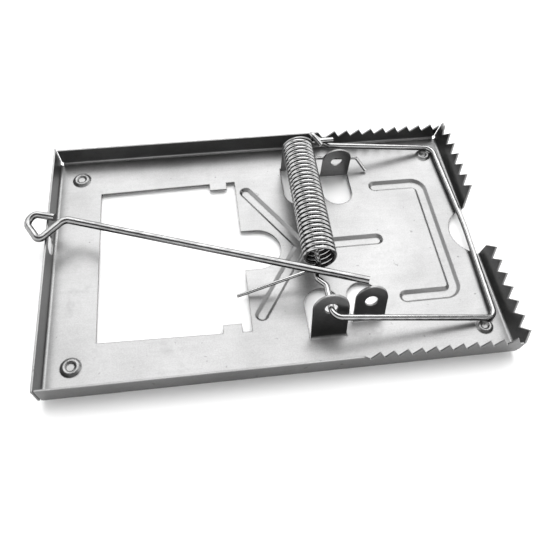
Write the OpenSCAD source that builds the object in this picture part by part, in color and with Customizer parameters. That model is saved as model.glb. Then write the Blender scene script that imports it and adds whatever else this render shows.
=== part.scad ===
// All-metal mouse trap: a folded tray with toothed walls, a striker bail, a torsion spring
// and a trigger rod. Millimetres. Length runs along X, width along Y, and z = 0 is the table.

/* [Tray] */
// Length of the tray at the folds of its end walls
tray_length = 142; // [125:1:180]
// Width of the tray at the folds of its long walls
tray_width = 92; // [86:1:120]
// Thickness of the sheet metal
sheet = 0.6; // [0.4:0.1:1]
// Height of the plain walls above the plate
wall_height = 7.2; // [6:0.1:12]
// Height of the back wall above the plate
back_height = 6.6; // [5.5:0.1:12]
// How far the left wall leans outward, in degrees
left_lean = 3; // [0:1:12]
// How far the right wall leans outward, in degrees
right_lean = 12; // [0:1:16]
// How far the front wall leans outward, in degrees
front_wall_lean = 1; // [0:1:12]
// Inner radius of every fold
fold_radius = 0.8; // [0.3:0.1:1.5]
// Open seam at each corner
corner_gap = 0.4; // [0.2:0.1:1]

/* [Teeth] */
// Pitch of the teeth along the front wall
front_pitch = 4.12; // [3.5:0.01:5]
// Pitch of the teeth along the back wall
back_pitch = 4.6; // [3.5:0.01:5.5]
// Pitch of the teeth along the right wall
right_pitch = 5.05; // [4:0.01:6]
// Distance of the first tip on the front wall from the right fold
front_toothed = 44.5; // [20:0.1:50]
// Distance of the first tip on the back wall from the right fold
back_toothed = 40.4; // [20:0.1:50]
// Width of the flat before the back wall's first tooth
back_gap = 1.6; // [0.2:0.1:3]
// Distance of the right wall's first tips from the middle of the tray
right_first_tip = 13.2; // [12:0.1:16]
// Height of the front wall's tips above the plate
front_tip_height = 9; // [7.5:0.1:11]
// Height of the right wall's tips above the plate
right_tip_height = 8.6; // [7.5:0.1:11]
// Depth of the teeth on the front and right walls
tooth_depth = 3.8; // [1.5:0.1:5]
// Depth of the teeth on the back wall
back_tooth_depth = 2.6; // [1:0.1:4]
// Share of the pitch that the falling flank takes on the front wall
front_fall = 0.48; // [0.2:0.02:0.6]
// Share of the pitch that the falling flank takes on the other walls
other_fall = 0.36; // [0.2:0.02:0.6]

/* [Window] */
// Distance from the left fold to the window
window_inset = 15.4; // [10:0.1:30]
// Length of the window
window_length = 47.2; // [30:0.1:60]
// Width of the window at its left end
window_width_left = 58.6; // [40:0.1:64]
// Width of the window at its right end
window_width_right = 60.8; // [40:0.1:64]
// Length of the small tabs at the window's right corners
tab_length = 6; // [3:0.1:10]
// How far the tabs reach into the window
tab_depth = 3; // [1:0.1:5]
// Notch between a tab and the window's right edge
tab_inset = 3; // [1:0.1:6]
// Width of the round bay in the window's right edge
bay_width = 15.8; // [8:0.1:24]
// Reach of the bay beyond the window's right edge
bay_reach = 12.8; // [8.5:0.1:14]

/* [Finger notch] */
// Radius of the half-moon in the right end of the plate
notch_radius = 9.9; // [7:0.1:14]
// Depth of the half-moon
notch_depth = 7.8; // [4:0.1:9]

/* [Pressings] */
// Depth of the pressed grooves, which are the trap's feet
groove_depth = 1; // [0.5:0.1:2]
// Width of a groove at the plate
groove_width = 4.4; // [3:0.1:6]
// Width of a groove's flat floor
groove_floor = 2.4; // [1:0.1:2.8]
// Distance of the bracket-shaped groove's bar from the right fold
bracket_inset = 12.7; // [11:0.1:18]
// Width of the bracket-shaped groove between its centre lines
bracket_width = 46.6; // [30:0.1:56]
// Length of the bracket-shaped groove's two arms
bracket_arm = 16.4; // [8:0.1:18]
// Place of the forked groove's hub from the middle of the tray
fork_x = 11.4; // [10:0.1:14]
// Sideways reach of the forked groove's two arms, along X
fork_back = 16.2; // [12:0.1:18]
// Reach of the forked groove's two arms, along Y
fork_span = 25; // [18:0.1:26]
// Length of the forked groove's straight stem
fork_stem = 26; // [12:0.1:30]
// Centre-line radius of the bracket-shaped groove's corners
bracket_bend = 3.2; // [2.5:0.1:6]
// Diameter of a raised boss at the left end
left_boss = 6.4; // [5:0.1:8]
// Diameter of a raised boss at the right end
right_boss = 5.4; // [4.6:0.1:7]
// Height of a raised boss above the plate
boss_height = 0.9; // [0.5:0.1:1.2]
// Distance of the left bosses from the left fold
left_boss_inset = 8.4; // [6:0.1:11]
// Distance of the right bosses from the right fold
right_boss_inset = 7.6; // [6:0.1:11]
// Distance of every boss from the long walls
boss_side_inset = 9.5; // [6:0.1:12]

/* [Ears] */
// Place of the hinge ears from the middle of the tray
hinge_x = 14.5; // [10:0.1:20]
// Distance between the folds of the two hinge ears
hinge_span = 70.4; // [66:0.1:74]
// Width of a hinge ear
hinge_ear_width = 11; // [8:0.1:11.4]
// Length of a hinge ear from its fold
hinge_ear_length = 17.6; // [16.5:0.1:19]
// Height of the axle above the plate
axle_height = 11.9; // [10.5:0.1:12.5]
// Place of the bait-lever ears from the middle of the tray
catch_x = 27.9; // [27:0.1:34]
// Distance between the folds of the two bait-lever ears
catch_span = 61.8; // [52:0.1:64]
// Width of a bait-lever ear
catch_ear_width = 10; // [7:0.1:11]
// Length of a bait-lever ear from its fold
catch_ear_length = 14.2; // [12:0.1:16]
// Height of the bait-lever pin holes above the plate
catch_height = 8.1; // [6:0.1:9]
// Diameter of the holes in all four ears
ear_hole = 4; // [3.4:0.1:4.5]
// How far the front ears lean toward the middle, in degrees
front_lean = 13; // [8:1:16]
// How far the back ears lean toward the middle, in degrees
back_lean = 4; // [0:1:6]
// Kerf round an ear's cut-out
kerf = 0.2; // [0.1:0.05:0.4]

/* [Striker bail] */
// Diameter of the bail's wire
bail_wire = 1.9; // [1.4:0.1:2.4]
// Distance of the striking bar from the axle, along X
bail_reach = 54; // [46:0.1:55]
// Place of the front leg in front of the middle of the tray
bail_front = 34.6; // [34.2:0.1:37]
// Place of the striking bar's back corner behind the middle of the tray
bail_back = 38.8; // [37.6:0.1:40]
// Distance of the axle's tail in front of the striking bar's back corner
tail_inset = 2.8; // [2:0.1:3.2]
// Bow of the striking bar
bar_bow = 1.3; // [0.5:0.1:2]
// Centre-line radius of the bail's bends
bail_bend = 3; // [2:0.1:4]
// Throw of the crank that the axle makes in front of the spring
crank_throw = 2.2; // [1:0.1:2.3]
// Length of the axle's stub beyond its bend
stub_length = 13; // [8:0.1:18]
// Gap between wires and what they rest on
rest_gap = 0.25; // [0.1:0.05:0.4]

/* [Torsion spring] */
// Diameter of the spring's wire
spring_wire = 1.15; // [0.8:0.05:1.2]
// Outer diameter of the coil
coil_diameter = 10.6; // [10.4:0.1:12]
// Number of turns
coil_turns = 28; // [12:1:28]
// Place of the coil's front turn in front of the middle of the tray
coil_front = 14; // [10:0.1:18]
// Place of the coil's last turn behind the middle of the tray
coil_back = 32.6; // [28:0.1:32.8]
// Height of the coil's axis above the bail's axle
coil_rise = 0.45; // [0.1:0.05:0.5]
// How far the front leg's tip overhangs the window
leg_overhang = 3.6; // [1:0.1:6]
// Where the back leg's tip meets the plate, from the middle of the tray
hook_x = 39.8; // [37:0.1:40]

/* [Trigger rod] */
// Diameter of the trigger rod
rod_wire = 2.4; // [1.6:0.1:2.6]
// Reach of the rod past the axle
rod_overreach = 12.2; // [8:0.1:16]
// Place where the rod crosses the left wall, behind the middle of the tray
rod_cross = 5.8; // [4:0.1:8]
// Reach of the hook beyond the left wall's rim
hook_reach = 6.3; // [5.5:0.1:8]
// Distance between the two strands where they cross the left wall
hook_spread = 8.8; // [7.5:0.1:12]
// Height of the slot in the left wall
slot_height = 4.6; // [3:0.1:4.6]
// Width of the strip between the slot and the rim
slot_strip = 1.4; // [1.2:0.1:1.8]
// Length of the slot
slot_length = 7; // [6:0.1:16]

/* [Hidden] */
$fn = 48;
tiny = 0.01;
seam = 0.1;
fold_steps = 6;
notch_half = sqrt(pow(notch_radius, 2) - pow(notch_radius - notch_depth, 2));
plate_top = groove_depth + sheet;
plate_bottom = groove_depth;
flat_x = tray_length/2 - fold_radius - sheet;
flat_y = tray_width/2 - fold_radius - sheet;
blank_top = max(front_tip_height, right_tip_height, wall_height, back_height) + 2;
window_x0 = -tray_length/2 + window_inset;
window_x1 = window_x0 + window_length;
bay_radius = bay_width/2;
axle_z = plate_top + axle_height;
coil_x = hinge_x - 0.2;
coil_z = axle_z + coil_rise;
coil_radius = (coil_diameter - spring_wire)/2;
slot_y = rod_cross + 0.5;
rim_z = plate_top + wall_height;
rim_x = -tray_length/2 - wall_height*tan(left_lean);
rod_rim_z = rim_z + rest_gap + rod_wire/2;
rod_axle_z = axle_z + bail_wire/2 + rest_gap + rod_wire/2;
crank_x = hinge_x - crank_throw;
rod_slope = (rod_axle_z - rod_rim_z)/(crank_x - rim_x);

// Vectors and the frame of a bend
function unit(v) = v/norm(v);
function turn(a, b) = acos(max(-1, min(1, unit(a)*unit(b))));

// One length of round wire through the points, with a bend radius at each corner
module bent_wire(points, bends, r) {
    last = len(points) - 1;
    cut = [for (i = [0:last]) i == 0 || i == last ? 0
        : bends[i]*tan(turn(points[i] - points[i - 1], points[i + 1] - points[i])/2)];
    for (i = [0:last - 1]) {
        d = unit(points[i + 1] - points[i]);
        from = points[i] + d*(cut[i] - (i == 0 ? 0 : seam));
        to = points[i + 1] - d*(cut[i + 1] - (i == last - 1 ? 0 : seam));
        rod(from, to, r);
    }
    for (i = [1:last - 1])
        wire_bend(points[i], unit(points[i] - points[i - 1]), unit(points[i + 1] - points[i]), bends[i],
            r + tiny);
}

module rod(from, to, r) {
    d = to - from;
    translate(from)
        rotate([0, acos(d.z/norm(d)), atan2(d.y, d.x)])
            cylinder(h = norm(d), r = r);
}

module wire_bend(corner, d0, d1, bend, r) {
    angle = turn(d0, d1);
    centre = corner + unit(d1 - d0)*bend/cos(angle/2);
    z = unit(cross(d0, d1));
    x = unit(corner - d0*bend*tan(angle/2) - centre);
    y = cross(z, x);
    multmatrix([[x.x, y.x, z.x, centre.x], [x.y, y.y, z.y, centre.y], [x.z, y.z, z.z, centre.z], [0, 0, 0, 1]])
        rotate_extrude(angle = angle)
            translate([bend, 0])
                circle(r = r);
}

// Section of folded sheet in Y and Z: the plate ends at y = 0 and the web stands on its +Y side
function arc(centre, r, from, to) = [for (i = [0:fold_steps])
    centre + r*[cos(from + (to - from)*i/fold_steps), sin(from + (to - from)*i/fold_steps)]];

module fold_section(height, lean) {
    centre = [0, plate_top + fold_radius];
    outer = arc(centre, fold_radius + sheet, -90, -lean);
    inner = arc(centre, fold_radius, -lean, -90);
    run = height + plate_top - centre.y + (fold_radius + sheet)*sin(lean);
    rise = run*[tan(lean), 1];
    polygon(concat([[-1, plate_bottom]], outer, [outer[fold_steps] + rise, inner[0] + rise], inner,
        [[-1, plate_top]]));
}

// A folded web along X from one place to another, cut to its flat outline in X and Z
module folded_web(from, to, height, lean) {
    intersection() {
        translate([from - 3, 0, 0])
            rotate([90, 0, 90])
                linear_extrude(to - from + 6)
                    fold_section(height, lean);
        translate([0, height, plate_top])
            rotate([90, 0, 0])
                linear_extrude(height + 3)
                    children();
    }
}

// Flat outline of a wall along X whose ends widen upward to meet the walls beside it
module wall_blank(flat, end, left, right, top) {
    rise = top - fold_radius;
    polygon([[-flat, -2], [-flat, fold_radius], [-end, fold_radius], [-end - rise*tan(left), top],
        [end + rise*tan(right), top], [end, fold_radius], [flat, fold_radius], [flat, -2]]);
}

// What lies below a rim that ends in teeth. The teeth rise slowly toward +X and fall faster.
module below_teeth(first_tip, count, pitch, fall, gap, low, tip, rim) {
    start = first_tip - pitch - gap;
    reach = tray_length;
    teeth = [for (i = [0:count - 1]) each
        [[first_tip + i*pitch, tip], [first_tip + (i + fall)*pitch, low]]];
    polygon(concat([[-reach, -3], [-reach, rim], [start, rim], [start + fall*pitch, low],
        [first_tip - (1 - fall)*pitch, low]], teeth, [[reach, low], [reach, -3]]));
}

long_end = tray_length/2 - sheet - corner_gap;
right_end = tray_width/2 - corner_gap;

module front_wall_outline() {
    intersection() {
        wall_blank(flat_x, long_end, left_lean, right_lean, blank_top);
        below_teeth(tray_length/2 - front_toothed, floor(front_toothed/front_pitch) + 1, front_pitch, front_fall,
            0.3, front_tip_height - tooth_depth, front_tip_height, wall_height);
    }
}

module back_wall_outline() {
    intersection() {
        wall_blank(flat_x, long_end, left_lean, right_lean, blank_top);
        below_teeth(tray_length/2 - back_toothed, ceil(back_toothed/back_pitch) + 1, back_pitch, other_fall,
            back_gap, back_height - back_tooth_depth, back_height, back_height);
    }
}

module left_wall_outline() {
    difference() {
        intersection() {
            wall_blank(flat_y, tray_width/2, 0, 0, blank_top);
            translate([-tray_width, -3])
                square([2*tray_width, wall_height + 3]);
        }
        translate([slot_y - (slot_length - slot_height)/2, wall_height - slot_strip - slot_height + tiny])
            square([slot_length - slot_height, slot_height - 2*tiny]);
        for (side = [-1, 1])
            translate([slot_y + side*(slot_length - slot_height)/2, wall_height - slot_strip - slot_height/2])
                circle(r = slot_height/2);
    }
}

// The right wall's two halves, seen from outside with the back of the trap at -X. Both halves'
// teeth fall toward the front, and a plain piece at least 1 mm wide stands at the back corner.
module right_wall_outline() {
    low = right_tip_height - tooth_depth;
    fall = other_fall*right_pitch;
    gaps = floor((right_end - 1 - right_first_tip)/right_pitch);
    corner_valley = fall - right_first_tip - gaps*right_pitch;
    polygon(concat([[-flat_y, -2], [-flat_y, fold_radius], [-right_end, fold_radius],
        [-right_end, wall_height], [corner_valley - fall, wall_height], [corner_valley, low]],
        [for (i = [gaps - 1:-1:1], p = [[0, right_tip_height], [fall, low]])
            [p.x - right_first_tip - i*right_pitch, p.y]],
        [[-right_first_tip, right_tip_height], [-notch_half, fold_radius], [-notch_half, -2]]));
    polygon(concat([[notch_half, -2], [notch_half, low]],
        [for (i = [0:gaps - 1], p = [[0, right_tip_height], [fall, low]])
            [p.x + right_first_tip + i*right_pitch, p.y]],
        [[right_first_tip + gaps*right_pitch, right_tip_height], [right_end, low],
            [right_end, fold_radius], [flat_y, fold_radius], [flat_y, -2]]));
}

module front_wall() {
    translate([0, -flat_y, 0])
        mirror([0, 1, 0])
            folded_web(-tray_length/2, tray_length/2, blank_top, front_wall_lean)
                front_wall_outline();
}

module back_wall() {
    translate([0, flat_y, 0])
        folded_web(-tray_length/2, tray_length/2, blank_top, 0)
            back_wall_outline();
}

module left_wall() {
    translate([-flat_x, 0, 0])
        rotate([0, 0, 90])
            folded_web(-tray_width/2, tray_width/2, blank_top, left_lean)
                left_wall_outline();
}

module right_wall() {
    translate([flat_x, 0, 0])
        rotate([0, 0, -90])
            folded_web(-tray_width/2, tray_width/2, blank_top, right_lean)
                right_wall_outline();
}

module window_outline() {
    y0 = window_width_left/2;
    y1 = window_width_right/2;
    slope = (y1 - y0)/window_length;
    difference() {
        polygon([[window_x0, -y0], [window_x1, -y1], [window_x1, y1], [window_x0, y0]]);
        for (side = [-1, 1])
            translate([window_x1 - tab_inset - tab_length, side > 0 ? y1 - tab_inset*slope - tab_depth : -y1])
                square([tab_length, tab_depth + tab_inset*slope]);
    }
    translate([window_x1 - 1, tiny - bay_radius])
        square([bay_reach - bay_radius + 1, bay_width - 2*tiny]);
    translate([window_x1 + bay_reach - bay_radius, 0])
        circle(r = bay_radius);
}

// The pressed grooves as solids that widen upward from one height to another, at 45 degrees
bracket_x = tray_length/2 - bracket_inset;
bracket_y = bracket_width/2;
fork = [[fork_x - fork_back, fork_span], [fork_x - fork_back, -fork_span], [fork_x + fork_stem, 0]];
groove_flare = (groove_width - groove_floor)/2/groove_depth;

module channel_section(half, height) {
    top = half + height*groove_flare;
    polygon([[-half, 0], [half, 0], [top, height], [-top, height]]);
}

module channel(from, to, half, low, high) {
    d = to - from;
    translate([from.x, from.y, low])
        rotate([90, 0, 90 + atan2(d.y, d.x)])
            linear_extrude(norm(d))
                channel_section(half, high - low);
}

module channel_end(p, half, low, high) {
    translate([p.x, p.y, low])
        cylinder(h = high - low, r1 = half + tiny, r2 = half + tiny + (high - low)*groove_flare);
}

// The bracket: two arms that run into the bar at its right through round corners
module bracket_groove(half, low, high) {
    for (side = [0, 1])
        mirror([0, side, 0]) {
            arm_end = [bracket_x - bracket_arm, bracket_y];
            channel(arm_end, [bracket_x - bracket_bend + seam, bracket_y], half, low, high);
            channel_end(arm_end, half, low, high);
            translate([bracket_x - bracket_bend, bracket_y - bracket_bend, low])
                rotate_extrude(angle = 90)
                    translate([bracket_bend, 0])
                        channel_section(half + tiny, high - low);
        }
    channel([bracket_x, bracket_bend - bracket_y - seam], [bracket_x, bracket_y - bracket_bend + seam],
        half, low, high);
}

module fork_groove(half, low, high) {
    for (p = fork) {
        channel([fork_x, 0], p, half, low, high);
        channel_end(p, half, low, high);
    }
    channel_end([fork_x, 0], half, low, high);
}

module grooves(half, low, high) {
    bracket_groove(half, low, high);
    fork_groove(half, low, high);
}

module boss_places() {
    for (side = [-1, 1]) {
        translate([-tray_length/2 + left_boss_inset, side*(tray_width/2 - boss_side_inset), 0])
            rotate_extrude()
                children(0);
        translate([tray_length/2 - right_boss_inset, side*(tray_width/2 - boss_side_inset), 0])
            rotate_extrude()
                children(1);
    }
}

// Section of a pressed boss, a domed ring round a shallow crater, raised above a base height
boss_steps = 6;
function dome(radius, base, drop) = [for (i = [0:boss_steps])
    let (share = i/boss_steps) [radius*(1 - 0.55*share), base + (boss_height - drop)*sin(135*share)]];

module boss_section(diameter) {
    crater = 0.45*diameter/2;
    polygon(concat([[0, plate_top - 0.2], [diameter/2, plate_top - 0.2]], dome(diameter/2, plate_top, 0),
        [[crater - 0.3, plate_top + 0.3*boss_height], [0, plate_top + 0.3*boss_height]]));
}

module boss_hollow_section(diameter) {
    crater = 0.45*diameter/2;
    polygon(concat([[crater, plate_bottom - 0.2], [diameter/2 - 0.2*sheet, plate_bottom - 0.2]],
        dome(diameter/2 - 0.2*sheet, plate_bottom, 0.1*sheet)));
}

module ear_outline(width, length, grow) {
    r = width/2 + grow;
    translate([-r + tiny, -2])
        square([2*r - 2*tiny, length - width/2 + 2]);
    translate([0, length - width/2])
        circle(r = r);
}

// Cut-out that an ear leaves in the plate, from its fold toward the middle
module ear_cutout(x, fold_y, width, length) {
    translate([x, -fold_y, plate_bottom - 1])
        linear_extrude(sheet + 2)
            difference() {
                ear_outline(width, length, kerf);
                translate([-width, -width])
                    square([2*width, width]);
            }
}

module ear(x, fold_y, width, length, lean, hole_z) {
    difference() {
        translate([x, -fold_y, 0])
            folded_web(-width, width, length + 1, lean)
                ear_outline(width, length*cos(lean), 0);
        translate([x, 0, plate_top + hole_z])
            rotate([90, 0, 0])
                cylinder(h = tray_width, d = ear_hole);
    }
}

module ears() {
    for (side = [[0, front_lean], [1, back_lean]])
        mirror([0, side[0], 0]) {
            ear(hinge_x, hinge_span/2, hinge_ear_width, hinge_ear_length, side[1], axle_height);
            ear(catch_x, catch_span/2, catch_ear_width, catch_ear_length, side[1], catch_height);
        }
}

module plate() {
    difference() {
        union() {
            translate([-flat_x, -flat_y, plate_bottom])
                cube([2*flat_x, 2*flat_y, sheet]);
            grooves(groove_floor/2 + 0.4*sheet, 0, plate_bottom + 0.3);
            boss_places() {
                boss_section(left_boss);
                boss_section(right_boss);
            }
        }
        grooves(groove_floor/2, plate_top - groove_depth, plate_top + 0.4);
        boss_places() {
            boss_hollow_section(left_boss);
            boss_hollow_section(right_boss);
        }
        translate([0, 0, plate_bottom - 1])
            linear_extrude(sheet + 2)
                window_outline();
        translate([tray_length/2 - notch_depth + notch_radius, 0, -1])
            cylinder(h = plate_top + 2, r = notch_radius);
        for (side = [0, 1])
            mirror([0, side, 0]) {
                ear_cutout(hinge_x, hinge_span/2, hinge_ear_width, hinge_ear_length);
                ear_cutout(catch_x, catch_span/2, catch_ear_width, catch_ear_length);
            }
    }
}

module base_tray() {
    color("gainsboro") {
        plate();
        front_wall();
        back_wall();
        left_wall();
        right_wall();
        ears();
    }
}

// The bail is one wire: a stub behind the back ear, the axle with its crank through the spring,
// the front leg, the striking bar, and the back leg, whose end hooks over the stub.
module striker_bail() {
    r = bail_wire/2;
    bar_z = plate_top + rest_gap + r;
    corner_x = hinge_x + bail_reach - bar_bow;
    tail_y = bail_back - tail_inset;
    inner = [hinge_x - 0.3*crank_throw, axle_z - 0.85*crank_throw];
    points = [
        [hinge_x + stub_length, tail_y, axle_z],
        [hinge_x, tail_y, axle_z],
        [hinge_x, coil_back - 4, axle_z],
        [inner.x, coil_back - 8, inner.y],
        [inner.x, -coil_front - 0.8, inner.y],
        [crank_x, -coil_front - 4, axle_z],
        [crank_x, -coil_front - 7.2, axle_z],
        [hinge_x, -coil_front - 9.6, axle_z],
        [hinge_x, -bail_front, axle_z],
        [corner_x, -bail_front, bar_z],
        [corner_x + bar_bow, (bail_back - bail_front)/2, bar_z],
        [corner_x, bail_back, bar_z],
        [hinge_x + 11.7, tail_y + 0.4, axle_z - bail_wire - 1.1],
        [hinge_x + 7, tail_y + bail_wire + 0.9, axle_z - 1],
        [hinge_x + 4.9, tail_y + 1.4, axle_z + bail_wire + 1],
        [hinge_x + 8.1, tail_y - bail_wire - 1.1, axle_z + 0.9]
    ];
    bends = [0, 1.2, 1.5, 1.5, 1.2, 1.2, 1.2, 1.5, bail_bend, bail_bend, 100, bail_bend, 1.4, 1.4, 1.2, 0];
    color("silver") bent_wire(points, bends, r);
}

// Torsion spring: one tube along a path of straight legs and a left-handed coil
curl_rings = 8;
tube_sides = 6;
leg_floor = plate_top + rest_gap + spring_wire/2;
front_tip = [window_x1 - leg_overhang, -coil_front - 4, leg_floor];
front_dip = leg_dip(coil_x - front_tip.x, coil_z - leg_floor);
hook_tip = [hook_x, coil_back - 2, leg_floor];
hook_bend = [hook_x - 3.4, coil_back + 0.7, leg_floor + 4];
back_dip = leg_dip(hook_bend.x - coil_x, coil_z - hook_bend.z);

// Slope of the line that touches the coil from a point that far off and that far below its axis
function leg_dip(run, drop) = atan2(drop, run) - asin(coil_radius/norm([run, drop]));
function coil_point(a, y) = [coil_x + coil_radius*cos(a), y, coil_z + coil_radius*sin(a)];
function between(a, b, n) = [for (i = [0:n - 1]) a + (b - a)*i/n];

start_angle = -90 + front_dip;
sweep = 360*coil_turns - front_dip - back_dip;
rings = round(sweep/360*curl_rings);
coil_path = [for (i = [0:rings]) coil_point(start_angle + sweep*i/rings,
    -coil_front + (coil_front + coil_back)*i/rings)];
spring_path = concat(between(front_tip, coil_path[0], 10), coil_path,
    [for (i = [1:8]) coil_path[rings] + (hook_bend - coil_path[rings])*i/8],
    [for (i = [1:3]) hook_bend + (hook_tip - hook_bend)*i/3]);
spring_count = len(spring_path);

function tangent(i) = unit(spring_path[min(i + 1, spring_count - 1)] - spring_path[max(i - 1, 0)]);
function across(i) = let (t = tangent(i), p = spring_path[i],
    in_coil = i >= 10 && i <= 10 + rings,
    ref = in_coil ? [p.x - coil_x, 0, p.z - coil_z] : [0, 0, -1])
    unit(ref - t*(ref*t));
function ring(i) = let (t = tangent(i), n = across(i), b = cross(t, n), r = spring_wire/2)
    [for (k = [0:tube_sides - 1]) spring_path[i] + r*(cos(360*k/tube_sides)*n + sin(360*k/tube_sides)*b)];

module spring_tube() {
    s = tube_sides;
    points = [for (i = [0:spring_count - 1]) each ring(i)];
    sides = [for (i = [0:spring_count - 2], k = [0:s - 1])
        let (a = i*s + k, b = i*s + (k + 1)%s)
            each [[a, a + s, b], [b, a + s, b + s]]];
    caps = [for (k = [1:s - 2]) each
        [[0, k, k + 1], [(spring_count - 1)*s, (spring_count - 1)*s + k + 1, (spring_count - 1)*s + k]]];
    polyhedron(points, concat(sides, caps));
}

// Least gap between stretches of the wire that are at least half a turn apart along it
function least_gap() = min([for (i = [0:spring_count - 1], j = [i + curl_rings/2:spring_count - 1])
    norm(spring_path[i] - spring_path[j]) > coil_radius ? coil_radius
        : norm(spring_path[i] - spring_path[j]) - spring_wire]);

module torsion_spring() {
    color("darkgray") spring_tube();
    echo(spring_least_gap = least_gap());
}

// Trigger rod: lies over the left wall and the axle. Its hook goes round outside the left wall
// and comes back over the rim.
module trigger_rod() {
    r = rod_wire/2;
    end_x = hinge_x + rod_overreach;
    end_y = -coil_front - 11.4;
    bend_x = rim_x + 6.2;
    points = [
        [end_x, end_y, rod_rim_z + (end_x - rim_x)*rod_slope],
        [bend_x, rod_cross + 6.2, rod_rim_z + (bend_x - rim_x)*rod_slope],
        [rim_x - 1.5, rod_cross - 1.3, rod_rim_z],
        [rim_x - hook_reach, rod_cross + 0.77*hook_spread, rod_rim_z - 0.8],
        [rim_x - 0.6*hook_reach, rod_cross + 1.12*hook_spread, rod_rim_z - 0.2],
        [rim_x + 3, rod_cross + 0.87*hook_spread, rod_rim_z]
    ];
    bends = [0, 3, 1.5, 3, 2.4, 0];
    color("silver") bent_wire(points, bends, r);
}

base_tray();
striker_bail();
torsion_spring();
trigger_rod();
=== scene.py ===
"""Looks of the all-metal mouse trap: bright zinc sheet, polished wires and a smooth spring."""

import math

import bmesh
import bpy
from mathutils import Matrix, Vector


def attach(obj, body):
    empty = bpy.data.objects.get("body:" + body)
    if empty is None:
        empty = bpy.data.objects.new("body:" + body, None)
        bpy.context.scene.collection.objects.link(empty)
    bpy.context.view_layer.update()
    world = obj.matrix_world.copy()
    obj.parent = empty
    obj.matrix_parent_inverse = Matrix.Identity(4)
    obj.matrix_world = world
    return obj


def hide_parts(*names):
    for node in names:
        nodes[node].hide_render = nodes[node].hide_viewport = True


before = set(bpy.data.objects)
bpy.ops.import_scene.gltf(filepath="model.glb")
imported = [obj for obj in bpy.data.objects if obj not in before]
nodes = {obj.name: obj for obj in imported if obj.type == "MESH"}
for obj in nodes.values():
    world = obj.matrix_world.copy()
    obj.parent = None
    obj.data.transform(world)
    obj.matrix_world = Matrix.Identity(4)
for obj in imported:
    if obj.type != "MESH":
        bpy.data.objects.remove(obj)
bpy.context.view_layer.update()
MM = 0.001

# The camera, fitted to the photograph. Lengths in millimetres, angles in radians.
CAMERA_PLACE = (-18.5, -114.9, 165.5)
CAMERA_TURN = (0.58651, -0.02407, -0.12227)
SENSOR_WIDTH = 36
LENS = 40.5
NEAREST_SEEN = 10

# The spring, in millimetres as in the CAD frame
WIRE_DIAMETER = 1.15
COIL_DIAMETER = 10.6
COIL_RADIUS = (COIL_DIAMETER - WIRE_DIAMETER) / 2
COIL_TURNS = 28
COIL_FRONT = Vector((14.3, -14, 13.95))
COIL_BACK = Vector((14.3, 32.6, 13.95))
FRONT_TIP = Vector((-12.0, -18, 2.425))
HOOK_BEND = Vector((36.4, 33.3, 6.425))
HOOK_TIP = Vector((39.8, 30.6, 2.425))
HOOK_ROUNDING = 1.4
RINGS_PER_TURN = 24
RINGS_PER_LEG = 8
RINGS_PER_BEND = 8
WIRE_SIDES = 16


def between(low, high, count):
    """That many points from one point towards another, the far one left out."""
    return [low.lerp(high, step / count) for step in range(count)]


def leg_dip(tip):
    """Angle below the horizontal of the line that touches the coil from below and ends at the tip."""
    across, down = abs(tip.x - COIL_FRONT.x), COIL_FRONT.z - tip.z
    return math.atan2(down, across) - math.asin(COIL_RADIUS / math.hypot(across, down))


def rounded(corner, before, after, radius, count):
    """Points of the arc that rounds a corner."""
    back, on = (before - corner).normalized(), (after - corner).normalized()
    half = back.angle(on) / 2
    centre = corner + (back + on).normalized() * radius / math.sin(half)
    start = corner + back * radius / math.tan(half) - centre
    end = corner + on * radius / math.tan(half) - centre
    return [centre + start.slerp(end, step / count) * radius for step in range(count + 1)]


def spring_path():
    """The spring's centre line: the front leg, the coil and the hooked back leg."""
    start = leg_dip(FRONT_TIP) - math.pi / 2
    sweep = COIL_TURNS * 2 * math.pi - leg_dip(FRONT_TIP) - leg_dip(HOOK_BEND)
    rings = round(sweep / (2 * math.pi) * RINGS_PER_TURN)
    coil = []
    for ring in range(rings + 1):
        angle = start + sweep * ring / rings
        centre = COIL_FRONT.lerp(COIL_BACK, ring / rings)
        coil.append(centre + Vector((math.cos(angle), 0, math.sin(angle))) * COIL_RADIUS)
    bend = rounded(HOOK_BEND, coil[-1], HOOK_TIP, HOOK_ROUNDING, RINGS_PER_BEND)
    front_leg = between(FRONT_TIP, coil[0], RINGS_PER_LEG)
    back_leg = between(coil[-1], bend[0], RINGS_PER_LEG)[1:]
    return front_leg + coil + back_leg + bend + [HOOK_TIP]


def placed(name, data):
    """A new object with that data, in the scene."""
    made = bpy.data.objects.new(name, data)
    bpy.context.scene.collection.objects.link(made)
    return made


def tube(name, path, diameter, sides):
    """A closed round tube along a path in millimetres, as a mesh object in metres."""
    mesh = bmesh.new()
    last = len(path) - 1
    across = Vector((0, 1, 0))
    rings = []
    for index, place in enumerate(path):
        along = (path[min(index + 1, last)] - path[max(index - 1, 0)]).normalized()
        across = (across - along * across.dot(along)).normalized()
        upward = along.cross(across)
        ring = []
        for side in range(sides):
            angle = 2 * math.pi * side / sides
            offset = (across * math.cos(angle) + upward * math.sin(angle)) * diameter / 2
            ring.append(mesh.verts.new((place + offset) * MM))
        rings.append(ring)
    for low, high in zip(rings, rings[1:]):
        for side in range(sides):
            following = (side + 1) % sides
            mesh.faces.new((low[side], low[following], high[following], high[side]))
    mesh.faces.new(list(reversed(rings[0])))
    mesh.faces.new(rings[-1])
    bmesh.ops.recalc_face_normals(mesh, faces=mesh.faces)
    data = bpy.data.meshes.new(name)
    mesh.to_mesh(data)
    mesh.free()
    return placed(name, data)


# Shader helpers. The sockets of a Mix node that mixes colours go by number.
MIX_SHARE = 0
MIX_FIRST = 6
MIX_SECOND = 7
MIX_RESULT = 2
BEVEL_SAMPLES = 4


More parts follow.
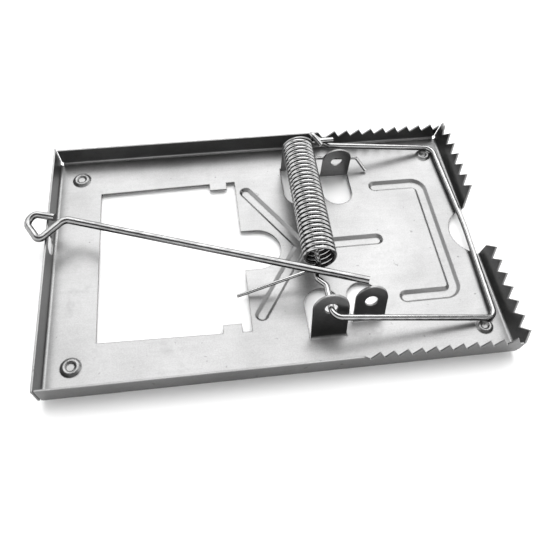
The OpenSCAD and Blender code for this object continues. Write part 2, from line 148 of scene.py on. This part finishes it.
def new_material(name, metallic):
    """An empty node material with its principled shader."""
    material = bpy.data.materials.new(name)
    material.use_nodes = True
    tree = material.node_tree
    tree.nodes.clear()
    output = tree.nodes.new("ShaderNodeOutputMaterial")
    shader = node(tree, "ShaderNodeBsdfPrincipled", Metallic=metallic)
    tree.links.new(shader.outputs["BSDF"], output.inputs["Surface"])
    return material, tree, shader


def node(tree, kind, **values):
    """A node of that kind, with attributes by name and input values by their socket's name."""
    made = tree.nodes.new(kind)
    for name, value in values.items():
        if name in made.inputs:
            made.inputs[name].default_value = value
        else:
            setattr(made, name, value)
    return made


def worked_out(tree, kind, operation, terms):
    """A maths node's outputs, from terms that are each a socket to link or a constant."""
    made = node(tree, kind, operation=operation)
    for term, socket in zip(terms, made.inputs):
        if isinstance(term, bpy.types.NodeSocket):
            tree.links.new(term, socket)
        else:
            socket.default_value = term
    return made.outputs


def number(tree, operation, *terms):
    """A number worked out from its terms."""
    return worked_out(tree, "ShaderNodeMath", operation, terms)["Value"]


def vector(tree, operation, *terms):
    """The outputs, Vector and Value, of what is worked out from vectors."""
    return worked_out(tree, "ShaderNodeVectorMath", operation, terms)


def object_place(tree):
    """The place of a surface point in the object's own frame."""
    return node(tree, "ShaderNodeTexCoord").outputs["Object"]


def stretched(tree, scale, turn=0.0):
    """The object's frame turned about the vertical and scaled, which draws noise out into streaks."""
    made = node(tree, "ShaderNodeMapping", Rotation=(0, 0, turn), Scale=scale)
    tree.links.new(object_place(tree), made.inputs["Vector"])
    return made.outputs["Vector"]


def noise(tree, place, scale, detail, roughness):
    """Noise over the surface, at that many features to a metre."""
    made = node(tree, "ShaderNodeTexNoise", Scale=scale, Detail=detail, Roughness=roughness)
    tree.links.new(place, made.inputs["Vector"])
    return made.outputs["Fac"]


def ramp(tree, source, stops):
    """A colour ramp over a value, with (place, grey level) stops."""
    made = tree.nodes.new("ShaderNodeValToRGB")
    band = made.color_ramp
    while len(band.elements) < len(stops):
        band.elements.new(0.5)
    for element, (place, level) in zip(band.elements, stops):
        element.position = place
        element.color = (level, level, level, 1)
    tree.links.new(source, made.inputs["Fac"])
    return made.outputs["Color"]


def combine(tree, kind, first, second, share=1.0):
    """Two colours mixed in a blending mode such as MULTIPLY."""
    made = node(tree, "ShaderNodeMix", data_type="RGBA", blend_type=kind)
    made.inputs[MIX_SHARE].default_value = share
    tree.links.new(first, made.inputs[MIX_FIRST])
    tree.links.new(second, made.inputs[MIX_SECOND])
    return made.outputs[MIX_RESULT]


def bumped(tree, shader, height, strength, depth, edge_radius):
    """Bump from a height, over edges that catch the light as if slightly rounded. Lengths in millimetres."""
    edge = node(tree, "ShaderNodeBevel", samples=BEVEL_SAMPLES, Radius=edge_radius * MM)
    bump = node(tree, "ShaderNodeBump", Strength=strength, Distance=depth * MM)
    tree.links.new(height, bump.inputs["Height"])
    tree.links.new(edge.outputs["Normal"], bump.inputs["Normal"])
    tree.links.new(bump.outputs["Normal"], shader.inputs["Normal"])


def facing_up(tree):
    """How far a surface of the object faces upward, from -1 to 1."""
    facing = node(tree, "ShaderNodeSeparateXYZ")
    tree.links.new(node(tree, "ShaderNodeTexCoord").outputs["Normal"], facing.inputs["Vector"])
    return facing.outputs["Z"]


def to_ramp(tree, source, reach=1.0):
    """A value from -reach to reach, brought to the range from 0 to 1."""
    return number(tree, "MULTIPLY_ADD", source, 0.5 / reach, 0.5)


def upper_side(tree):
    """From 0 under a wire to 1 on top of it."""
    return to_ramp(tree, facing_up(tree))


def outer_side(tree):
    """From 0 on the side of a turn towards the coil's axis to 1 on its far side, and to 1 on top of a leg."""
    surface = node(tree, "ShaderNodeTexCoord").outputs
    across_axis = (1, 0, 1)
    axis_to_origin = (-COIL_FRONT.x * MM, 0, -COIL_FRONT.z * MM)
    from_axis = vector(tree, "MULTIPLY_ADD", surface["Object"], across_axis, axis_to_origin)["Vector"]
    outward = vector(tree, "DOT_PRODUCT", from_axis, surface["Normal"])["Value"]
    distance = vector(tree, "LENGTH", from_axis)["Value"]
    on_leg = number(tree, "GREATER_THAN", distance, (COIL_RADIUS + WIRE_DIAMETER) * MM)
    leg_top = number(tree, "MULTIPLY", on_leg, upper_side(tree))
    return number(tree, "MAXIMUM", to_ramp(tree, outward, COIL_RADIUS * MM), leg_top)


# The zinc sheet. A noise has its features to a metre, its detail and its roughness.
CLOUD_NOISE = (38.0, 5.0, 0.6)
CLOUD_TONE = [(0.3, 0.20), (0.7, 0.29)]
GRAIN_NOISE = (2400.0, 3.0, 0.5)
GRAIN_TONE = [(0.3, 0.85), (0.7, 1.0)]
# Painted shade: folded walls and ears, whose faces are nearly upright, are painted darker than the flat plate
UPRIGHT_PAINTED_SHADE = [(0.2, 0.68), (0.5, 1.0)]
ROLLING_STRETCH = (0.12, 1, 1)
ROLLING_NOISE = (900.0, 4.0, 0.7)
ROLLING_TONE = [(0.35, 0.95), (0.6, 1.0)]
SPECK_NOISE = (420.0, 2.0, 0.6)
SPECK_TONE = [(0.70, 1.0), (0.76, 0.6)]
SMUDGE_NOISE = (75.0, 6.0, 0.7)
SMUDGE_TONE = [(0.56, 1.0), (0.72, 0.78)]
SHEET_ROUGHNESS = [(0.3, 0.30), (0.7, 0.38)]
SHEET_RELIEF = {"strength": 0.12, "depth": 0.04, "edge_radius": 0.5}
MARKS_IN_RELIEF = 0.5


def zinc_sheet():
    """Bright zinc plate with a satin gloss: clouds, grain, rolling marks, a few specks and smudges, and
    painted shade on the upright walls and ears.
    """
    material, tree, shader = new_material("zinc_sheet", metallic=1.0)
    place = object_place(tree)
    grain = noise(tree, place, *GRAIN_NOISE)
    marks = noise(tree, stretched(tree, ROLLING_STRETCH), *ROLLING_NOISE)
    cloud = noise(tree, place, *CLOUD_NOISE)
    colour = ramp(tree, cloud, CLOUD_TONE)
    layers = [
        (grain, GRAIN_TONE),
        # painted shade: faces that are nearly upright are darker
        (number(tree, "ABSOLUTE", facing_up(tree)), UPRIGHT_PAINTED_SHADE),
        (marks, ROLLING_TONE),
        (noise(tree, place, *SPECK_NOISE), SPECK_TONE),
        (noise(tree, place, *SMUDGE_NOISE), SMUDGE_TONE),
    ]
    for layer, tone in layers:
        colour = combine(tree, "MULTIPLY", colour, ramp(tree, layer, tone))
    tree.links.new(colour, shader.inputs["Base Color"])
    tree.links.new(ramp(tree, cloud, SHEET_ROUGHNESS), shader.inputs["Roughness"])
    bumped(tree, shader, combine(tree, "MIX", grain, marks, MARKS_IN_RELIEF), **SHEET_RELIEF)
    return material


# Drawn wire. Its streaks run nearly along the rod and the bail's legs.
DRAWING_TURN = 0.12
DRAWING_STRETCH = (0.08, 0.3, 1)
STREAK_DETAIL = 4.0
STREAK_ROUGHNESS = 0.6
STREAK_ENDS = (0.35, 0.65)
DULLNESS_ENDS = (0.3, 0.7)
DULLNESS_SPREAD = 0.06
WIRE_RELIEF = {"strength": 0.06, "depth": 0.02, "edge_radius": 0.1}


def drawn_wire(name, dark, light, rough, streaks, lit_side, painted_shade):
    """Polished wire with streaks from drawing, that many to a metre across it, and painted shade on its less
    lit side.
    """
    material, tree, shader = new_material(name, metallic=1.0)
    drawn = stretched(tree, DRAWING_STRETCH, DRAWING_TURN)
    marks = noise(tree, drawn, streaks, STREAK_DETAIL, STREAK_ROUGHNESS)
    bare = ramp(tree, marks, list(zip(STREAK_ENDS, (dark, light))))
    # painted shade: darker where the side mask says the wire is turned away from the light
    shaded = ramp(tree, lit_side(tree), painted_shade)
    tree.links.new(combine(tree, "MULTIPLY", bare, shaded), shader.inputs["Base Color"])
    dullness = ramp(tree, marks, list(zip(DULLNESS_ENDS, (rough, rough + DULLNESS_SPREAD))))
    tree.links.new(dullness, shader.inputs["Roughness"])
    bumped(tree, shader, marks, **WIRE_RELIEF)
    return material


def bail_wire():
    """The bail's bright wire, with painted shade underneath."""
    return drawn_wire("bail_wire", dark=0.24, light=0.32, rough=0.13, streaks=2400.0,
                      lit_side=upper_side, painted_shade=[(0.5, 0.35), (0.75, 1.0)])


def spring_wire():
    """The spring's wire, with painted shade on the inside of the coil and on the underside of its legs."""
    return drawn_wire("spring_wire", dark=0.30, light=0.40, rough=0.12, streaks=3000.0,
                      lit_side=outer_side, painted_shade=[(0.5, 0.15), (0.8, 1.0)])


def rod_wire():
    """The rod's wire, darker than the bail's, with painted shade underneath."""
    return drawn_wire("rod_wire", dark=0.16, light=0.28, rough=0.15, streaks=2000.0,
                      lit_side=upper_side, painted_shade=[(0.5, 0.25), (0.75, 1.0)])


# Edges sharper than this many degrees stay sharp
SHARP_EDGE = 30
SPRING_SHARP_EDGE = 50


def dress(shown, material, degrees=SHARP_EDGE):
    """Gives a CAD node or a piece its one material, and smooth shading but for its sharp edges."""
    mesh = shown.data
    mesh.materials.clear()
    mesh.materials.append(material)
    mesh.polygons.foreach_set("use_smooth", [True] * len(mesh.polygons))
    mesh.set_sharp_from_angle(angle=math.radians(degrees))


# The studio round the object, with the floor's reach from the middle in metres
FLOOR_REACH = 3.0
FLOOR_GREY = 0.93
FLOOR_ROUGHNESS = 0.9
KEY_FROM = (0.12, 0.53, 0.84)
KEY_SPREAD = 67
KEY_STRENGTH = 3.7
# The studio's brightness by height: a white wall all round up to half the sky's height, and a dim ceiling
SKY = [(0.0, 2.1), (0.46, 2.0), (0.68, 0.2), (1.0, 0.2)]


def floor():
    """A plain white floor."""
    mesh = bpy.data.meshes.new("floor")
    signs = [(-1, -1), (1, -1), (1, 1), (-1, 1)]
    mesh.from_pydata([(x * FLOOR_REACH, y * FLOOR_REACH, 0) for x, y in signs], [], [(0, 1, 2, 3)])
    material, _, shader = new_material("floor", metallic=0.0)
    shader.inputs["Base Color"].default_value = (FLOOR_GREY, FLOOR_GREY, FLOOR_GREY, 1)
    shader.inputs["Roughness"].default_value = FLOOR_ROUGHNESS
    mesh.materials.append(material)
    placed("floor", mesh)


def key_light():
    """One very soft key light from behind, whose shadow fades quickly."""
    data = bpy.data.lights.new("key", "SUN")
    data.angle = math.radians(KEY_SPREAD)
    data.energy = KEY_STRENGTH
    key = placed("key", data)
    key.rotation_euler = Vector(KEY_FROM).to_track_quat("Z", "Y").to_euler()


def surroundings():
    """The white wall all round, and colours shown as they are."""
    world = bpy.data.worlds.new("studio")
    world.use_nodes = True
    tree = world.node_tree
    direction = node(tree, "ShaderNodeSeparateXYZ")
    tree.links.new(node(tree, "ShaderNodeTexCoord").outputs["Generated"], direction.inputs["Vector"])
    tree.links.new(ramp(tree, direction.outputs["Z"], SKY), tree.nodes["Background"].inputs["Color"])
    bpy.context.scene.world = world
    bpy.context.scene.view_settings.view_transform = "Standard"


def camera():
    """The camera at the photograph's angle."""
    data = bpy.data.cameras.new("camera")
    data.sensor_width = SENSOR_WIDTH
    data.lens = LENS
    data.clip_start = NEAREST_SEEN * MM
    made = placed("camera", data)
    made.location = [length * MM for length in CAMERA_PLACE]
    made.rotation_euler = CAMERA_TURN
    bpy.context.scene.camera = made


floor()
key_light()
surroundings()
camera()
dress(nodes["base_tray"], zinc_sheet())
dress(nodes["striker_bail"], bail_wire())
spring = tube("coiled_spring", spring_path(), WIRE_DIAMETER, WIRE_SIDES)
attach(spring, "trap")
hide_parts("torsion_spring")
dress(spring, spring_wire(), SPRING_SHARP_EDGE)
dress(nodes["trigger_rod"], rod_wire())
